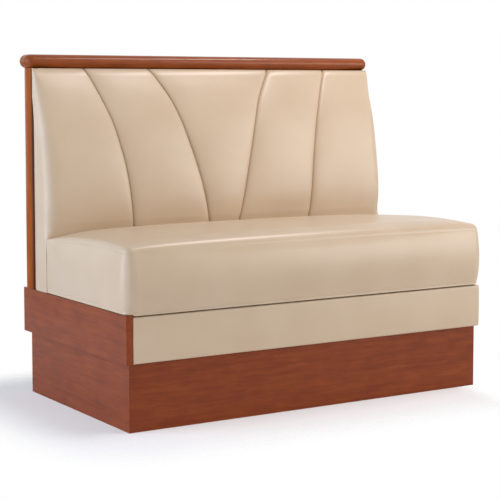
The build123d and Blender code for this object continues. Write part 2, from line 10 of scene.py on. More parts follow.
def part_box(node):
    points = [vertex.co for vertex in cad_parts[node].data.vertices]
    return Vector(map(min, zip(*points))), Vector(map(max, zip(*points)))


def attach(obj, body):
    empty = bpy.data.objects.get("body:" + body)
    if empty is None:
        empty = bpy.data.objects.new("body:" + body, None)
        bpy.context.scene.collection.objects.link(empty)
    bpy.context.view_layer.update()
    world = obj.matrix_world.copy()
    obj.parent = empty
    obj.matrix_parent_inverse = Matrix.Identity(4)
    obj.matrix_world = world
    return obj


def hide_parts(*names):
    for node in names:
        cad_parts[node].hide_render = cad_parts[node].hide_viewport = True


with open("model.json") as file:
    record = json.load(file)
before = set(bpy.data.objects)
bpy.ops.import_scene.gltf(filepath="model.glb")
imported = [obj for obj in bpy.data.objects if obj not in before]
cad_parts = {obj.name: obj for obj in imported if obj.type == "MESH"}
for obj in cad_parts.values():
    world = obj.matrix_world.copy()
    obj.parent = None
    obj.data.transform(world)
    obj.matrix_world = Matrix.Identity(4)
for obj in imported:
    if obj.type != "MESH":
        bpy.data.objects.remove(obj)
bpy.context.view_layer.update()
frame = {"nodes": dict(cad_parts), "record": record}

MM = 0.001

# Sizes and places read from the frame, in metres
rail_low, rail_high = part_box("top_rail")
seat_low, seat_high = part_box("seat_cover")
apron_low, apron_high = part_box("front_rail_cover")
board_low, board_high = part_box("back_board")
batten_low, batten_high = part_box("back_batten")
half_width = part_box("back_cover")[1].x
post_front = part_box("end_post_left")[0].y
box_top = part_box("box_end_left")[1].z
rail_bottom = rail_low.z
rear_y = rail_high.y
crown = seat_high.z
seat_foot = seat_low.z
seat_height = seat_high.z - seat_low.z
seat_overhang = 4.9 * MM
seat_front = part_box("front_rail")[0].y - seat_overhang
seat_rear = seat_high.y

# Camera, solved from the photograph's straight edges
photo_width = 500
focal_pixels = 1449.1
camera_place = (-2.0992, -3.3225, 0.8277)
camera_yaw = 32.087
camera_pitch = 4.455
camera_shift = -0.1
sensor_width = 36.0

# Light: name, place, target, size, power and colour of each softbox
room_light = 0.30
softboxes = [
    ("right_softbox", (3.0, -2.9, 1.3), (0.1, 0, 0.5), (2.4, 2.0), 68, "#FFFEFE"),
    ("left_softbox", (-2.5, 0.3, 1.0), (-0.4, 0.1, 0.5), (1.8, 2.0), 42, "#D6E4FF"),
    ("left_strip", (-2.6, -1.55, 0.8), (-0.5, -0.2, 0.5), (0.3, 1.8), 9, "#F2F4FF"),
    ("top_softbox", (0.8, -0.6, 2.4), (0.2, -0.2, 0.5), (1.3, 0.22), 24, "#FFF6F8"),
]

# Floor: its shadow fades between two distances from the bench, and sooner on the right
floor_size = 14
floor_drop = 0.4 * MM
shadow_near = 0.06
shadow_far = 0.30
shadow_clear = 0.28
shadow_right_inset = 0.1
shadow_right_haste = 3.0

# Fan back, close to the part's source. Each row holds a share of the height between the box
# and the seat's crown (below 0) or between the crown and the top rail (above 0), then
# shares of the back's depth, of half the width for both seams, and of the corner radius.
back_shares = [
    (-1.065, 0.926, 0.052, 0.500, 0.06),
    (-0.677, 0.926, 0.064, 0.508, 0.06),
    (-0.386, 0.926, 0.073, 0.514, 0.06),
    (-0.224, 0.930, 0.082, 0.520, 0.30),
    (-0.111, 0.948, 0.089, 0.524, 0.75),
    (0.0, 0.972, 0.096, 0.528, 1.00),
    (0.073, 0.987, 0.107, 0.534, 1.00),
    (0.218, 0.978, 0.131, 0.546, 1.00),
    (0.363, 0.930, 0.159, 0.561, 0.97),
    (0.508, 0.860, 0.190, 0.584, 0.92),
    (0.653, 0.770, 0.223, 0.612, 0.85),
    (0.797, 0.640, 0.265, 0.651, 0.78),
    (0.928, 0.505, 0.322, 0.692, 0.72),
    (1.029, 0.400, 0.372, 0.728, 0.68),
]
back_depth = 153 * MM
channel_count = 5
end_channels = (0, 4)
corner_radius = 43 * MM
corner_power = 2.7
seat_line = crown - 20 * MM
full_crown_from = crown + 60 * MM
low_channel_crown = 2.4 * MM
channel_crown = 4.4 * MM
channel_shoulder = 4.2 * MM
shoulder_width = 8 * MM
seam_sink = 3.2 * MM
seam_width = 1.9 * MM
pull_depth = 0.35 * MM
pull_reach = 16 * MM
head_height = 20 * MM
head_tuck = 11 * MM
head_notch = 7 * MM
head_gap = 0.5 * MM
foot_gap = 0.9 * MM
board_gap = 0.4 * MM
board_side_gap = 0.5 * MM
least_return = 1 * MM

# The side of the end channels, drawn in beside the post and wrapped to it
post_tuck = 2.5 * MM
wrap_reach = 0.9
draw_in = 4 * MM
draw_run = 24 * MM
side_bulge = 1.2 * MM
corner_steps = 25
side_steps = 17
wrap_steps = 6

# Grids of the back: levels up a channel, levels round its head, and points across it
levels_fine = 190
levels_head = 18
levels_coarse = 60
across_fine = 49
across_coarse = 23
tacked_columns = 12

# Seat cushion, close to the part's source: a share of half the width from the middle
# outward, then shares of the cushion's height at the front edge, crown and rear edge.
seat_shares = [
    (0.00, 0.942, 1.000, 0.893),
    (0.30, 0.941, 0.998, 0.893),
    (0.55, 0.937, 0.986, 0.890),
    (0.72, 0.928, 0.972, 0.878),
    (0.83, 0.918, 0.957, 0.852),
    (0.91, 0.905, 0.938, 0.818),
    (0.955, 0.893, 0.920, 0.795),
    (1.02, 0.868, 0.888, 0.760),
]
seat_arch_power = 2.2
seat_side_gap = 0.4 * MM
seat_hem_radius = 24 * MM
seat_full_radius = 36 * MM
seat_rear_radius = 3.0 * MM
seat_corner_power = 2.2
seat_front_roll = 20 * MM
seat_side_roll = 16 * MM
seat_rear_roll = 2.5 * MM
seat_front_bow = 12 * MM
seat_side_bow = 6 * MM
bow_end_loss = 0.2
bow_end_power = 10
belly_lean = 0.9
belly_breadth = 0.8
side_bow_fade = (160 * MM, 10 * MM)
side_roll_fade = (80 * MM, 3 * MM)

# Seam between the boxing and the top, and the rings that draw it
seam_crease = 0.9 * MM
seam_reach = 1.2 * MM
seam_least = 0.15
seam_boxing_shares = (0.984, 0.992, 1)
seam_roll_share = 0.04

# Hem: how far it hangs in front and clears the wood beside it, then its section as
# heights above its foot and how far in
hem_height = 4.5 * MM
hem_crease = 1.0 * MM
hem_crease_reach = 0.02
hem_pull = 0.25 * MM
hem_pull_reach = 0.12
hem_fold = 3.8 * MM
hem_drop = 2.2 * MM
hem_lift = 1.4 * MM
hem_drop_start = (19.5 * MM, 22 * MM)
hem_section = [
    (0, 3 * MM), (0, 0.8 * MM), (0.8 * MM, 0), (hem_height - 1 * MM, 0), (hem_height, hem_crease),
]

# Grids of the seat: points round a corner and along a side and the front, then rings on
# the boxing, the rolled edge and the top
coarse_round = (7, (22, 52))
coarse_rings = (15, 4, 16)
coarse_top_reach = 0.9
fine_round = (19, (66, 150))
fine_rings = (34, 12, 42)
ridge_weld = 1 * MM

# Vinyl as cloth over foam
cloth_frames = 20
cloth_quality = 5
cloth_stretch = 40.0
cloth_shear = 20.0
cloth_bend = 4.0
cloth_damping = 4.0
cloth_smoothing = 4
back_pressure = 4.0
back_cap = 5 * MM
seat_pressure = 4.0
seat_cap = 6 * MM

# Where covers are held and their moves fade out: by height on the back, by distance from
# the seat's rear, and by the count of the seat's rings
back_free_from = crown + 50 * MM
seat_tacked_rear = 25 * MM
seat_rear_fade = (220 * MM, seat_tacked_rear)
seat_tacked_top = 3.4
seat_top_fade = (3.0, 3.5)

# Small folds along the seams: how many waves, and their rates in radians per metre
back_folds = dict(count=9, low=180, high=520)
back_fold_seed = 40
hem_folds = dict(count=9, low=90, high=260)
hem_fold_seed = 7

# Front rail covering
apron_round = 5 * MM
apron_swell = 1.2 * MM
apron_lift = 1.4 * MM
apron_turn_steps = 9
apron_swell_steps = 18
apron_stations = 90
apron_close_shares = (0.0, 0.002, 0.004)
apron_even_from = 0.006

# Painted shade on the posts, from their front edge beside the vinyl: where it ends, and
# the light and gloss that it leaves
painted_shade_run = (7 * MM, 16 * MM)
painted_shade_light = 0.18
painted_shade_gloss = 0.04


def link(obj):
    bpy.context.scene.collection.objects.link(obj)
    return obj


def make_mesh(name, points, faces):
    """A smooth-shaded object from points and faces."""
    mesh = bpy.data.meshes.new(name)
    mesh.from_pydata([tuple(p) for p in points], [], faces)
    mesh.update()
    mesh.polygons.foreach_set("use_smooth", [True] * len(mesh.polygons))
    return link(bpy.data.objects.new(name, mesh))


def loop_faces(rows, columns):
    """Faces between rows of closed loops, with a cap on the first and last row."""
    faces = []
    for r in range(rows - 1):
        low, high = r * columns, (r + 1) * columns
        for c in range(columns):
            d = (c + 1) % columns
            faces.append((low + c, low + d, high + d, high + c))
    faces.append(tuple(reversed(range(columns))))
    faces.append(tuple((rows - 1) * columns + c for c in range(columns)))
    return faces


def smooth_column(shares, column):
    """A column of a table as a smooth function of its first column."""
    keys = np.array([row[0] for row in shares])
    values = np.array([row[column] for row in shares])
    slopes = np.gradient(values, keys)

    def at(share):
        i = int(np.clip(np.searchsorted(keys, share) - 1, 0, len(keys) - 2))
        width = keys[i + 1] - keys[i]
        t = (share - keys[i]) / width
        a = (1 + 2 * t) * (1 - t) ** 2 * values[i]
        b = t * (1 - t) ** 2 * width * slopes[i]
        c = t * t * (3 - 2 * t) * values[i + 1]
        d = t * t * (t - 1) * width * slopes[i + 1]
        return a + b + c + d

    return at


def ease(low, high, value):
    """Rises smoothly from 0 at low to 1 at high."""
    t = np.clip((value - low) / (high - low), 0, 1)
    return t * t * (3 - 2 * t)


def crowded(count):
    """Shares from 0 to 1, crowded at both ends."""
    return (1 - np.cos(np.linspace(0, math.pi, count))) / 2


def quarter_turn(count):
    return np.linspace(0, math.pi / 2, count)


def rounding(angle, power):
    """A quarter turn that is tighter in the middle than a circle where the power is over 2."""
    return math.sin(angle) ** (2 / power), max(math.cos(angle), 0) ** (2 / power)


def waves(seed, count, low, high):
    """A seeded sum of sines, about 1 high, so that folds never repeat."""
    random = np.random.default_rng(seed)
    rates = random.uniform(low, high, count)
    shifts = random.uniform(0, 2 * math.pi, count)
    sizes = random.uniform(0.5, 1, count)
    return lambda value: float(np.sum(sizes * np.sin(rates * value + shifts)) / np.sum(sizes))


def blow_up(grid, held, pressure, cap):
    """Blows a coarse closed cover up as cloth, and gives how far each of its points moved.
    Sewn and resting points are held, and the others move no further than the cap."""
    rows, columns = grid.shape[:2]
    cover = make_mesh("cover", grid.reshape(-1, 3), loop_faces(rows, columns))
    cover.vertex_groups.new(name="sewn").add([int(i) for i in np.flatnonzero(held)], 1.0, "REPLACE")
    cloth = cover.modifiers.new("cloth", "CLOTH")
    settings = cloth.settings
    settings.quality = cloth_quality
    settings.tension_stiffness = settings.compression_stiffness = cloth_stretch
    settings.shear_stiffness = cloth_shear
    settings.bending_stiffness = cloth_bend
    settings.air_damping = cloth_damping
    settings.use_pressure = True
    settings.uniform_pressure_force = pressure
    settings.vertex_group_mass = "sewn"
    settings.effector_weights.gravity = 0
    cloth.collision_settings.use_collision = False
    cloth.point_cache.frame_start = 1
    cloth.point_cache.frame_end = cloth_frames
    scene = bpy.context.scene
    for step in range(1, cloth_frames + 1):
        scene.frame_set(step)
    bpy.context.view_layer.objects.active = cover
    bpy.ops.object.modifier_apply(modifier="cloth")
    scene.frame_set(1)
    blown = np.empty(rows * columns * 3)
    cover.data.vertices.foreach_get("co", blown)
    bpy.data.objects.remove(cover)
    move = blown.reshape(grid.shape) - grid
    for _ in range(cloth_smoothing):
        move[1:-1] = (move[:-2] + 2 * move[1:-1] + move[2:]) / 4
        move = (np.roll(move, 1, axis=1) + 2 * move + np.roll(move, -1, axis=1)) / 4
        move[held] = 0
    far = np.linalg.norm(move, axis=2, keepdims=True)
    return move * cap * np.tanh(far / cap) / np.maximum(far, 1e-9)


def between(rows, places):
    """Rows of an array read smoothly at places between them."""
    i = np.clip(np.floor(places).astype(int), 0, len(rows) - 2)
    t = (places - i).reshape(-1, *[1] * (rows.ndim - 1))
    before, low = rows[np.maximum(i - 1, 0)], rows[i]
    high, after = rows[i + 1], rows[np.minimum(i + 2, len(rows) - 1)]
    return low + t / 2 * (high - before + t * (2 * before - 5 * low + 4 * high - after
                                               + t * (3 * (low - high) + after - before)))


def carried_over(moves, rows, columns):
    """Moves of a coarse grid, read at places between its rows and its columns."""
    return between(between(moves, rows).swapaxes(0, 1), columns).swapaxes(0, 1)


def places_among(values, coarse_values):
    """Where values lie among the rising values of the coarse rows, counted in rows."""
    return np.interp(values, coarse_values, np.arange(len(coarse_values)))


def upholster(piece, body, nodes):
    """Dresses a soft piece in vinyl and puts it in the place of its solids."""
    piece.data.materials.append(vinyl)
    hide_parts(*nodes)
    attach(piece, body)


# Back upholstery

depth_at = smooth_column(back_shares, 1)
inner_seam_at = smooth_column(back_shares, 2)
outer_seam_at = smooth_column(back_shares, 3)
corner_at = smooth_column(back_shares, 4)


def back_share(z):
    """The share of height that the table of the back is read by."""
    span = crown - box_top if z < crown else rail_bottom - crown
    return (z - crown) / span


def seams_at(z):
    """X of the four seams."""
    share = back_share(z)
    inner = inner_seam_at(share) * half_width
    outer = outer_seam_at(share) * half_width
    return [-outer, -inner, inner, outer]


def head_share(z):
    """From 0 below the rounded heads of the channels to 1 under the top rail."""
    return float(np.clip((z - (rail_bottom - head_height)) / head_height, 0, 1))


def groove_at(z):
    """Y of the sewn line between two channels, tucked in under the top rail."""
    tuck = head_tuck * (1 - math.sqrt(max(0, 1 - head_share(z) ** 2)))
    return rear_y - depth_at(back_share(z)) * back_depth + tuck


def crown_of_channel(z):
    """How far a channel bows out between its seams: less where the seat stands against it."""
    return low_channel_crown + (channel_crown - low_channel_crown) * ease(seat_line, full_crown_from, z)


def channel_rise(from_seam, to_far_seam, z, fold):
    """How far a channel stands out of its seams, given the distances to both."""
    width = from_seam + to_far_seam
    near = min(from_seam, to_far_seam)
    middle = 4 * from_seam * to_far_seam / width ** 2
    broad = crown_of_channel(z) * middle + channel_shoulder * (1 - math.exp(-near / shoulder_width))
    sink = (seam_sink + head_notch * head_share(z) ** 3) * math.exp(-near / seam_width)
    pull = pull_depth * fold(z) * math.exp(-near / pull_reach) * (1 - math.exp(-near / seam_width))
    return broad - sink + pull


def middle_front(channel, z, folds, shares):
    """Plan points across one of the three middle channels, from left to right."""
    low, high = seams_at(z)[channel - 1:channel + 1]
    points = []
    for u in shares:
        x = low + u * (high - low)
        fold = folds[0] if u < 0.5 else folds[1]
        points.append((x, groove_at(z) - channel_rise(x - low, high - x, z, fold)))
    return points


def end_front(z, folds, shares):
    """Plan points of the right end channel: seam, swell, front corner, side back to the post."""
    groove = groove_at(z)
    outer = seams_at(z)[3]
    crest = groove - crown_of_channel(z) - channel_shoulder
    room = post_front - crest - post_tuck
    turn = min(corner_radius * corner_at(back_share(z)), room)
    shoulder = half_width - turn
    width = 2 * (shoulder - outer)
    points = []
    for u in shares[:-1]:
        x = outer + u * (shoulder - outer)
        points.append((x, groove - channel_rise(x - outer, width - (x - outer), z, folds[0])))
    for angle in quarter_turn(corner_steps):
        along, across = rounding(angle, corner_power)
        points.append((shoulder + turn * along, crest + turn * (1 - across)))
    start = points[-1][1]
    straight = post_front - post_tuck - start
    run = min(draw_run, straight)
    for step in np.linspace(0, 1, side_steps)[1:]:
        drawn = draw_in * max(0, 1 - straight * (1 - step) / run) ** 2
        bulge = side_bulge * math.sin(math.pi * step)
        points.append((half_width + bulge - drawn, start + straight * step))
    for angle in quarter_turn(wrap_steps)[1:]:
        points.append((
            half_width - draw_in - post_tuck * (1 - math.cos(angle)),
            post_front - post_tuck + post_tuck * wrap_reach * math.sin(angle),
        ))
    return points


def board_front(z):
    """Y of the batten and the sloping plywood under the foam."""
    if z < batten_high.z:
        return batten_low.y
    top_y = board_high.y - (batten_high.y - board_low.y)
    return board_low.y + (top_y - board_low.y) * (z - board_low.z) / (board_high.z - board_low.z)


def channel_loops(channel, levels, shares, folds):
    """Closed loops of a channel at each height, from the box to the top rail."""
    loops = []
    for z in levels:
        root = board_front(z) - board_gap
        if channel in end_channels:
            front = end_front(z, folds, shares)
            inside = board_high.x + board_side_gap
            back_end = front[-1][1]
            rear = [(inside, back_end), (inside, min(root, back_end - least_return)), (front[0][0], root)]
        else:
            front = middle_front(channel, z, folds, shares)
            rear = [(front[-1][0], root), (front[0][0], root)]
        loop = [(x, y, z) for x, y in front + rear]
        if channel == 0:
            loop = [(-x, y, z) for x, y, z in loop]
        loops.append(loop)
    return np.array(loops)


def back_channel(channel):
    """One channel of the fan back: a coarse cover is blown up, and its moves are carried
    over to a fine one that has the sewn seams and the rounded head."""
    folds = [waves(back_fold_seed + 2 * channel + side, **back_folds) for side in (0, 1)]
    levels = np.concatenate([
        np.linspace(box_top + foot_gap, rail_bottom - head_height, levels_fine)[:-1],
        rail_bottom - head_gap - head_height * (1 - np.sin(quarter_turn(levels_head))),
    ])
    coarse_levels = np.linspace(levels[0], levels[-1], levels_coarse)
    coarse_shares = np.linspace(0, 1, across_coarse)
    coarse = channel_loops(channel, coarse_levels, coarse_shares, folds)
    # The seams and the rear are sewn, the head is tacked, and the seat presses on the foot
    sewn = np.zeros(coarse.shape[:2], bool)
    sewn[coarse_levels < seat_line] = True
    sewn[-1] = True
    sewn[:, 0] = True
    first_sewn = -tacked_columns if channel in end_channels else across_coarse - 1
    sewn[:, first_sewn:] = True
    way = -1 if channel == 0 else 1
    moves = blow_up(coarse[:, ::way], sewn[:, ::way], back_pressure, back_cap)[:, ::way]
    moves = moves * ease(seat_line, back_free_from, coarse_levels)[:, None, None]
    shares = crowded(across_fine)
    fine = channel_loops(channel, levels, shares, folds)
    rest = np.arange(across_coarse, coarse.shape[1])
    columns = np.concatenate([places_among(shares, coarse_shares), rest])
    fine = fine + carried_over(moves, places_among(levels, coarse_levels), columns)
    points = fine[:, ::way].reshape(-1, 3)
    return make_mesh("back_channel_" + str(channel + 1), points, loop_faces(*fine.shape[:2]))


def build_back():
    for channel in range(channel_count):
        nodes = ["back_foam_" + str(channel + 1)] + (["back_cover"] if channel == 2 else [])
        upholster(back_channel(channel), "carcase", nodes)


# Seat cushion

front_top_at = smooth_column(seat_shares, 1)
crown_at = smooth_column(seat_shares, 2)
rear_top_at = smooth_column(seat_shares, 3)


def rounded_outline(low, high, front_radius, turn_steps, side_steps):
    """Round the cushion's corners and sides from above: points, outward normals, and a
    count that grows by one for each corner and each side."""
    corners = [
        (high.x, low.y, -1, 1, front_radius), (high.x, high.y, -1, -1, seat_rear_radius),
        (low.x, high.y, 1, -1, seat_rear_radius), (low.x, low.y, 1, 1, front_radius),
    ]
    points, normals, counts = [], [], []
    for i, (x, y, x_way, y_way, radius) in enumerate(corners):
        centre = Vector((x + x_way * radius, y + y_way * radius))
        turn = Matrix.Rotation(math.radians(90 * (i - 1)), 2)
        for share in np.linspace(0, 1, turn_steps):
            across, along = rounding(share * math.pi / 2, seat_corner_power)
            slope = Vector((along ** (seat_corner_power - 1), across ** (seat_corner_power - 1)))
            points.append(centre + turn @ Vector((along, across)) * radius)
            normals.append(turn @ slope.normalized())
            counts.append(2 * i + share)
    outline = []
    for i in range(4):
        outline += list(zip(points, normals, counts))[i * turn_steps:(i + 1) * turn_steps]
        last = (i + 1) * turn_steps - 1
        start, normal, end = points[last], normals[last], points[(last + 1) % len(points)]
        outline += [(start.lerp(end, share), normal, 2 * i + 1 + share)
                    for share in np.linspace(0, 1, side_steps[i % 2])[1:-1]]
    return outline


def seat_outlines(turn_steps, side_steps):
    """The cushion's outline at the hem, and the rounder one half-way up the boxing."""
    low = Vector((-half_width + seat_side_gap, seat_front))
    high = Vector((half_width - seat_side_gap, seat_rear))
    return [rounded_outline(low, high, radius, turn_steps, side_steps)
            for radius in (seat_hem_radius, seat_full_radius)]


def seat_top(x, y):
    """Height of the cushion's top."""
    share = min(abs(x) / half_width, seat_shares[-1][0])
    t = float(np.clip((y - seat_front) / (seat_rear - seat_front), 0, 1))
    front = front_top_at(share)
    rear = rear_top_at(share)
    arch = 1 - abs(2 * t - 1) ** seat_arch_power
    lift = (crown_at(share) - (front + rear) / 2) * arch
    return seat_foot + seat_height * (front + (rear - front) * t + lift)


def toward_rear(run, y):
    """Rises smoothly from 0 to 1 between two distances from the cushion's rear."""
    return ease(seat_rear - run[0], seat_rear - run[1], y)


def belly_at(share):
    """Fullness of the boxing at a share of its height, 1 near the middle."""
    return math.sin(math.pi * min(share, 1) ** belly_lean) ** belly_breadth


def side_swell(share, point, normal):
    """How far the boxing bellies out at a share of its height."""
    along = 1 - abs(point.x / half_width) ** bow_end_power * bow_end_loss
    front = seat_front_bow * along * max(-normal.y, 0)
    side = seat_side_bow * (1 - toward_rear(side_bow_fade, point.y)) * abs(normal.x)
    return belly_at(share) * (front + side)


def roll_at(point, normal):
    """Radius of the rolled top edge: soft in front, tighter along the sides to the rear."""
    side = seat_side_roll + (seat_rear_roll - seat_side_roll) * toward_rear(side_roll_fade, point.y)
    return side + (seat_front_roll - side) * max(-normal.y, 0) ** 2


def hem_foot_at(point, normal):
    """Height of the hem: just below the box's edge in front, and clear of the end panel."""
    start, end = hem_drop_start
    front = max(-normal.y, 0) ** 4 * ease(-half_width + start, -half_width + end, point.x)
    return seat_foot - front * hem_drop + (1 - front) * hem_lift


def seat_rings(outline, full_outline, steps, top_reach, seamed):
    """Rings from under the hem up the boxing, over the rolled edge and in to the middle, and
    a count for each ring that grows by one for each of these parts. The seam between the
    boxing and the top is a crease, plainest at the sides."""
    boxing_steps, roll_steps, top_steps = steps
    boxing_shares = np.linspace(0, 1, boxing_steps)[1:]
    roll_shares = np.linspace(0, 1, roll_steps)[1:]
    if seamed:
        boxing_shares = np.append(boxing_shares[:-1], seam_boxing_shares)
        roll_shares = np.append(seam_roll_share, roll_shares)
    pulls = waves(hem_fold_seed, **hem_folds)
    rolls = [roll_at(point, normal) for point, normal, _ in outline]
    inner = [point - normal * roll for (point, normal, _), roll in zip(outline, rolls)]
    edge = [seat_top(*point) for point in inner]
    foot = [hem_foot_at(point, normal) for point, normal, _ in outline]
    rings, counts = [], []

    def ring(count, out_at, z_at, fullness=0):
        """Adds a ring, given how far out and how high each of its points lies."""
        counts.append(count)
        rings.append([])
        for i, (point, normal, _) in enumerate(outline):
            place = point.lerp(full_outline[i][0], fullness) + normal * out_at(i)
            rings[-1].append((*place, z_at(i)))

    def crease_at(i, distance):
        """Depth of the seam's crease at a distance from it."""
        depth = seam_crease * max(abs(outline[i][1].x), seam_least) if seamed else 0
        return depth * math.exp(-distance / seam_reach)

    def boxing_out(i):
        point, normal, _ = outline[i]
        crease = hem_crease * math.exp(-share / hem_crease_reach)
        pull = hem_pull * pulls(point.x + point.y) * math.exp(-share / hem_pull_reach)
        return side_swell(share, point, normal) - crease + pull - crease_at(i, (1 - share) * seat_height)

    def boxing_z(i):
        start = foot[i] + hem_height
        return start + share * (edge[i] - rolls[i] - start)

    def roll_out(i):
        return -rolls[i] * (1 - math.cos(angle)) - crease_at(i, angle * rolls[i])

    def roll_z(i):
        return edge[i] - rolls[i] * (1 - math.sin(angle))

    # The underside lies level, clear of the box
    ring(0, lambda i: -hem_fold, lambda i: seat_foot + hem_lift)
    for step, (z, inset) in enumerate(hem_section):
        ring((step + 1) / len(hem_section), lambda i: -inset, lambda i: foot[i] + z)
    for share in boxing_shares:
        ring(1 + share, boxing_out, boxing_z, belly_at(share))
    for share in roll_shares:
        angle = share * math.pi / 2
        ring(2 + share, roll_out, roll_z)

    # The top closes on a ridge along the middle: the sides' points meet at its two ends, and
    # those of the front and rear in pairs along it
    middle_y = (seat_front + seat_rear) / 2
    end = half_width - (seat_rear - seat_front) / 2
    for share in np.linspace(0, top_reach, top_steps)[1:]:
        counts.append(3 + share)
        rings.append([])
        for start, (_, _, count) in zip(inner, outline):
            ridge_x = np.interp(count, (0, 3, 4, 7, 8), (end, end, -end, -end, end))
            place = start.lerp(Vector((ridge_x, middle_y)), share)
            rings[-1].append((*place, seat_top(*place)))
    return np.array(rings), np.array(counts)


def seat_cushion():
    """The seat: a coarse cover is blown up, and its moves are carried over to a fine one."""
    coarse_outlines = seat_outlines(*coarse_round)
    coarse, coarse_counts = seat_rings(*coarse_outlines, coarse_rings, coarse_top_reach, False)
    round_counts = np.array([count for _, _, count in coarse_outlines[0]])
    # The foam's own crown holds the middle of the top, the hem and the rear are tacked, and
    # the boxing is held at the front corners, which would be drawn in
    tacked = (coarse_counts <= 1) | (coarse_counts > seat_tacked_top)
    boxing = coarse_counts <= 2
    corner = (round_counts <= 1) | ((round_counts >= 6) & (round_counts <= 7))
    sewn = tacked[:, None] | (coarse[:, :, 1] > seat_rear - seat_tacked_rear) | boxing[:, None] & corner
    moves = blow_up(coarse, sewn, seat_pressure, seat_cap)
    moves = moves * (1 - ease(*seat_top_fade, coarse_counts))[:, None, None]
    moves = moves * (1 - toward_rear(seat_rear_fade, coarse[:, :, 1:2]))
    # The first column follows the last, so that points between them can be read
    moves = np.concatenate([moves, moves[:, :1]], axis=1)
    round_counts = np.append(round_counts, 8)

    outlines = seat_outlines(*fine_round)
    fine, counts = seat_rings(*outlines, fine_rings, 1, True)
    columns = places_among([count for _, _, count in outlines[0]], round_counts)
    fine = fine + carried_over(moves, places_among(counts, coarse_counts), columns)
    # The innermost ring has no cap: its front and rear points meet in pairs on the ridge
    piece = make_mesh("seat_cushion", fine.reshape(-1, 3), loop_faces(*fine.shape[:2])[:-1])
    shape = bmesh.new()
    shape.from_mesh(piece.data)
    shape.verts.ensure_lookup_table()
    bmesh.ops.remove_doubles(shape, verts=shape.verts[-fine.shape[1]:], dist=ridge_weld)
    shape.to_mesh(piece.data)
    shape.free()
    return piece


def build_seat():
    upholster(seat_cushion(), "seat", ["seat_cover", "seat_foam"])


# Front rail covering

def build_apron():
    """Vinyl drawn over the padded front rail, wrapped round its right end."""
    low, high = apron_low, apron_high
    middle_z = (low.z + high.z + apron_lift) / 2
    half_height = (high.z + apron_lift - low.z) / 2
    r = apron_round
    turns = quarter_turn(apron_turn_steps)
    section = [(0, -half_height)]
    section += [(-r * math.sin(a), -half_height + r * (1 - math.cos(a))) for a in turns]
    section += [(-r - apron_swell * math.sin(math.pi * s), (2 * s - 1) * (half_height - r))
                for s in np.linspace(0, 1, apron_swell_steps)[1:-1]]
    section += [(-r * math.cos(a), half_height - r + r * math.sin(a)) for a in turns]
    section += [(0, half_height)]
    face_y = low.y + r + apron_swell
    length = high.x - low.x
    even_length = length * (1 - apron_even_from) - r
    stations = [(low.x + length * s, 0) for s in apron_close_shares]
    stations += [(low.x + apron_even_from * length + even_length * s, 0)
                 for s in np.linspace(0, 1, apron_stations)]
    stations += [(high.x - r + r * math.sin(a), r * (1 - math.cos(a))) for a in turns[1:]]
    rows = []
    for x, inset in stations:
        shrink = (half_height - inset) / half_height
        row = [(x, min(face_y + y + inset * (-y / r), high.y), middle_z + z * shrink) for y, z in section]
        row += [(x, high.y, middle_z + half_height * shrink), (x, high.y, middle_z - half_height * shrink)]
        rows.append(row)
    points = [point for row in rows for point in row]
    piece = make_mesh("front_rail_upholstery", points, loop_faces(len(rows), len(rows[0])))
    upholster(piece, "carcase", ["front_rail_cover", "front_rail_padding"])


# Materials

def linear(hex_colour):
    """An sRGB hex colour as the linear values that a shader takes."""
    parts = [int(hex_colour[i:i + 2], 16) / 255 for i in (1, 3, 5)]
    return tuple([p / 12.92 if p <= 0.04045 else ((p + 0.055) / 1.055) ** 2.4 for p in parts] + [1.0])


def join(tree, source, target):
    """Links a socket, or a node's first output, to an input."""
    tree.links.new(source.outputs[0] if isinstance(source, bpy.types.Node) else source, target)


def add(tree, kind, inputs=None, stops=None, **settings):
    """Adds a node with its settings and colour stops, and sets or links its inputs."""
    made = tree.nodes.new("ShaderNode" + kind)
    for key, value in settings.items():
        setattr(made, key, value)
    for key, value in (inputs or {}).items():
        if isinstance(value, (bpy.types.Node, bpy.types.NodeSocket)):
            join(tree, value, made.inputs[key])
        else:
            made.inputs[key].default_value = value
    if stops:
        elements = made.color_ramp.elements
        for _ in stops[2:]:
            elements.new(0.5)
        for element, (position, colour) in zip(elements, stops):
            element.position = position
            element.color = linear(colour)
    return made


def start_material(name, **numbers):
    """A material, its tree, its shader with plain numbers set, and the object's coordinates."""
    material = bpy.data.materials.new(name)
    material.use_nodes = True
    tree = material.node_tree
    shader = tree.nodes["Principled BSDF"]
    for key, value in numbers.items():
        shader.inputs[key.replace("_", " ")].default_value = value
    place = add(tree, "TexCoord").outputs["Object"]
    return material, tree, shader, place


def pattern(tree, place, size_mm, **numbers):
    """A random pattern whose features have a size in mm along X, Y and Z."""
    scale = [1 / (size * MM) for size in size_mm]
    mapped = add(tree, "Mapping", {"Vector": place, "Scale": scale})
    return add(tree, "TexNoise", {"Vector": mapped, "Scale": 1.0, **numbers})


def end_material(tree, shader, colour, rough=None, relief=None):
    """Joins the colour to the shader, and where given a roughness that follows a pattern from
    one value to another, and a relief as its pattern, strength and depth in mm."""
    join(tree, colour, shader.inputs["Base Color"])
    if rough:
        spread = add(tree, "MapRange", dict(zip(("Value", "To Min", "To Max"), rough)))
        join(tree, spread, shader.inputs["Roughness"])
    if relief:
        height, strength, depth_mm = relief
        bump = add(tree, "Bump", {"Height": height, "Strength": strength, "Distance": depth_mm * MM})
        join(tree, bump, shader.inputs["Normal"])


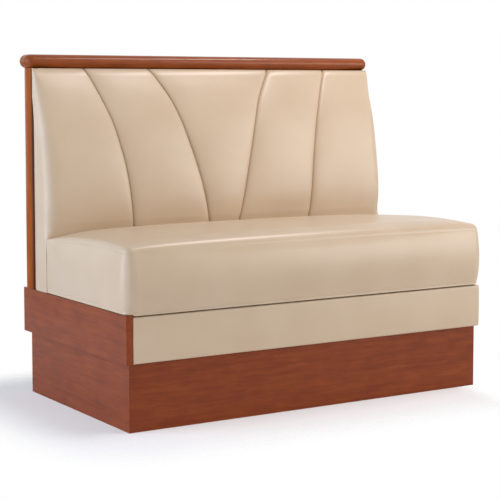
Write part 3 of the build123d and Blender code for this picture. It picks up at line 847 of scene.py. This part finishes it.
def satin_vinyl():
    """Calendered upholstery vinyl: one even beige with a low satin sheen that broadens
    highlights, broken by a shallow pressed grain."""
    material, tree, shader, place = start_material(
        "satin_vinyl", Specular_IOR_Level=0.4, Coat_Weight=0.3, Coat_Roughness=0.28)
    cloud = pattern(tree, place, (110, 110, 110), Detail=3.0)
    colour = add(tree, "ValToRGB", {"Fac": cloud}, stops=[(0.3, "#C7B093"), (0.7, "#CCB69A")])
    # The real grain is about 0.8 mm, too fine to show, so its cells are drawn 1.5 mm wide
    grain = add(tree, "TexVoronoi", {"Vector": place, "Scale": 1 / (1.5 * MM)}, feature="DISTANCE_TO_EDGE")
    end_material(tree, shader, colour, (cloud, 0.36, 0.44), (grain, 0.10, 0.12))
    return material


def grain_size(axis, along, across):
    """Size in mm along X, Y and Z of a pattern that runs with the grain of wood."""
    return [along if i == axis else across for i in range(3)]


def lacquered_cherry(name, axis, stains, painted_shade_from=None):
    """Cherry stained red-brown under satin lacquer: long soft figure and short fine
    streaks along the grain, cloudy light and dark, and a thin clear coat that shines evenly.
    Where a Y is given, shade is painted in: the wood goes dark and its coat dull toward the corner beside
    the vinyl, from that Y."""
    material, tree, shader, place = start_material(
        name, Specular_IOR_Level=0.15, Coat_Weight=0.28, Coat_Roughness=0.14, Coat_IOR=1.45)
    # The real streaks are 1 to 1.5 mm wide, too fine to show, so they are drawn 3 mm wide
    fine = pattern(tree, place, grain_size(axis, 38, 3), Detail=4.0, Roughness=0.6)
    figure = pattern(tree, place, grain_size(axis, 150, 9), Detail=5.0, Roughness=0.55, Distortion=0.5)
    mottle = pattern(tree, place, grain_size(axis, 70, 30), Detail=3.0)
    colour = add(tree, "ValToRGB", {"Fac": figure}, stops=list(zip((0.25, 0.5, 0.75), stains)))
    streaks = add(tree, "ValToRGB", {"Fac": fine}, stops=[(0.35, "#CDBCB2"), (0.6, "#FFFFFF")])
    clouds = add(tree, "ValToRGB", {"Fac": mottle}, stops=[(0.3, "#D8CCC6"), (0.7, "#FFFFFF")])
    tints = [(streaks, 0.35), (clouds, 0.65)]
    # Painted shade: darker wood and a duller coat toward the posts' front edge, where the vinyl meets them
    if painted_shade_from is not None:
        y = add(tree, "SeparateXYZ", {0: place}).outputs["Y"]
        start, end = painted_shade_run
        lit = add(tree, "MapRange", {"Value": y, "From Min": painted_shade_from + start, "From Max": painted_shade_from + end,
                                     "To Min": painted_shade_light}, interpolation_type="SMOOTHSTEP")
        tints.append((lit, 1.0))
        shader.inputs["Specular IOR Level"].default_value = painted_shade_gloss
        coat = shader.inputs["Coat Weight"]
        join(tree, add(tree, "Math", {0: lit, 1: coat.default_value}, operation="MULTIPLY"), coat)
    for tint, amount in tints:
        mix = add(tree, "Mix", {0: amount, 6: colour, 7: tint}, data_type="RGBA", blend_type="MULTIPLY")
        colour = mix.outputs[2]
    end_material(tree, shader, colour, (fine, 0.32, 0.44), (fine, 0.12, 0.08))
    return material


def birch_plywood():
    """Plain sanded plywood, seen only from below and where the seat comes out."""
    material, tree, shader, place = start_material("birch_plywood", Roughness=0.62)
    bands = pattern(tree, place, (180, 6, 3), Detail=4.0)
    colour = add(tree, "ValToRGB", {"Fac": bands}, stops=[(0.35, "#C9AD82"), (0.65, "#D9C19A")])
    end_material(tree, shader, colour, relief=(bands, 0.15, 0.15))
    return material


def zinc_plated_steel():
    """Bright zinc on the springs, screws, bolts and brackets, with faintly uneven shine."""
    material, tree, shader, place = start_material("zinc_plated_steel", Metallic=1.0)
    cloud = pattern(tree, place, (9, 9, 9), Detail=3.0)
    colour = add(tree, "ValToRGB", {"Fac": cloud}, stops=[(0.35, "#A6A7A3"), (0.65, "#BBBCB8")])
    end_material(tree, shader, colour, (cloud, 0.28, 0.42))
    return material


def pressed_felt():
    """Grey needled felt over the springs: matt, with short tangled fibres."""
    material, tree, shader, place = start_material("pressed_felt", Roughness=0.95)
    # Real fibres are far under 1 mm, too fine to show, so their tangles are drawn 2.5 mm wide
    fibre = pattern(tree, place, (2.5, 2.5, 2.5), Detail=5.0, Roughness=0.7)
    colour = add(tree, "ValToRGB", {"Fac": fibre}, stops=[(0.35, "#5C5852"), (0.65, "#7B766E")])
    end_material(tree, shader, colour, relief=(fibre, 0.5, 0.6))
    return material


vinyl = satin_vinyl()
veneer_stains = ("#80360C", "#8C3E0E", "#974713")
solid_stains = ("#87400F", "#934712", "#9D4F18")
# The posts' stain is lighter than the rail's: a painted sheen standing in for the light the posts catch
post_stains_with_painted_sheen = ("#96480F", "#A25012", "#AC5818")
veneer_along_x = lacquered_cherry("cherry_veneer_along_x", 0, veneer_stains)
veneer_along_y = lacquered_cherry("cherry_veneer_along_y", 1, veneer_stains)
solid_along_x = lacquered_cherry("solid_cherry_along_x", 0, solid_stains)
solid_along_z = lacquered_cherry("solid_cherry_along_z", 2, post_stains_with_painted_sheen, post_front)
grain_along = {
    "plinth_left": veneer_along_y, "plinth_right": veneer_along_y,
    "end_panel_left": veneer_along_y, "end_panel_right": veneer_along_y,
    "end_post_left": solid_along_z, "end_post_right": solid_along_z, "top_rail": solid_along_x,
}
finishes = {
    "cherry_wood": veneer_along_x, "plain_ply": birch_plywood(), "steel": zinc_plated_steel(),
    "felt": pressed_felt(), "foam": vinyl, "vinyl": vinyl,
}


def dress_frame():
    """Gives each CAD node the finish of its material slot, wood with its own grain."""
    slots = {part["node"]: part["material_slot"] for part in frame["record"]["subparts"]}
    for node, obj in frame["nodes"].items():
        obj.data.materials.clear()
        obj.data.materials.append(grain_along.get(node, finishes[slots[node]]))


# Floor, light and camera

def cleared_tree(owner):
    """The emptied node tree of a material or world."""
    owner.use_nodes = True
    owner.node_tree.nodes.clear()
    return owner.node_tree


def build_stage():
    """A white floor that shows a shadow near the bench and gives way to the backdrop."""
    bpy.ops.mesh.primitive_plane_add(size=floor_size, location=(0, 0, -floor_drop))
    floor = bpy.context.object
    floor.name = "floor"
    material = bpy.data.materials.new("studio_floor")
    tree = cleared_tree(material)
    place = add(tree, "TexCoord").outputs["Object"]
    # How far a point lies outside the bench's own rectangle
    size = add(tree, "VectorMath", {0: place}, operation="ABSOLUTE")
    past = add(tree, "VectorMath", {0: size, 1: (half_width, rear_y, 0)}, operation="SUBTRACT")
    outside = add(tree, "VectorMath", {0: past, 1: (0, 0, 0)}, operation="MAXIMUM")
    reach = add(tree, "VectorMath", {0: outside}, operation="LENGTH").outputs["Value"]
    x = add(tree, "SeparateXYZ", {0: place}).outputs["X"]
    right = add(tree, "Math", {0: x, 1: half_width - shadow_right_inset}, operation="SUBTRACT")
    right_only = add(tree, "Math", {0: right, 1: 0.0}, operation="MAXIMUM")
    far = add(tree, "Math", {0: right_only, 1: shadow_right_haste, 2: reach}, operation="MULTIPLY_ADD")
    fade = add(tree, "MapRange", {"Value": far, "From Min": shadow_near, "From Max": shadow_far,
                                  "To Min": shadow_clear}, interpolation_type="SMOOTHSTEP")
    matt = add(tree, "BsdfDiffuse", {"Color": linear("#FCFCFC")})
    clear = add(tree, "BsdfTransparent")
    seen = add(tree, "LightPath").outputs["Is Camera Ray"]
    amount = add(tree, "Math", {0: fade, 1: seen}, operation="MULTIPLY")
    mix = add(tree, "MixShader", {0: amount, 1: matt, 2: clear})
    add(tree, "OutputMaterial", {"Surface": mix})
    floor.data.materials.append(material)


def build_world():
    """White for the camera, reflections and glass, and dimmer as a light."""
    world = bpy.data.worlds.new("studio")
    bpy.context.scene.world = world
    tree = cleared_tree(world)
    rays = add(tree, "LightPath").outputs
    seen = add(tree, "Math", {0: rays["Is Camera Ray"], 1: rays["Is Glossy Ray"]}, operation="MAXIMUM")
    shown = add(tree, "Math", {0: seen, 1: rays["Is Transmission Ray"]}, operation="MAXIMUM")
    dim = add(tree, "Background", {"Color": linear("#FFFFFF"), "Strength": room_light})
    white = add(tree, "Background", {"Color": linear("#FFFFFF"), "Strength": 1.0})
    mix = add(tree, "MixShader", {0: shown, 1: dim, 2: white})
    add(tree, "OutputWorld", {"Surface": mix})


def build_lights():
    for name, place, target, size, power, colour in softboxes:
        lamp = bpy.data.lights.new(name, "AREA")
        lamp.shape = "RECTANGLE"
        lamp.size, lamp.size_y = size
        lamp.energy = power
        lamp.color = linear(colour)[:3]
        obj = link(bpy.data.objects.new(name, lamp))
        obj.location = place
        obj.rotation_euler = (Vector(target) - Vector(place)).to_track_quat("-Z", "Y").to_euler()


def build_camera():
    lens = bpy.data.cameras.new("photograph_view")
    lens.sensor_width = sensor_width
    lens.lens = focal_pixels / photo_width * sensor_width
    lens.shift_y = camera_shift
    camera = link(bpy.data.objects.new("photograph_view", lens))
    camera.location = camera_place
    camera.rotation_euler = (math.radians(90 - camera_pitch), 0, math.radians(-camera_yaw))
    bpy.context.scene.camera = camera


build_camera()
dress_frame()
build_back()
build_seat()
build_apron()
build_stage()
build_world()
build_lights()
bpy.context.scene.view_settings.view_transform = "Standard"
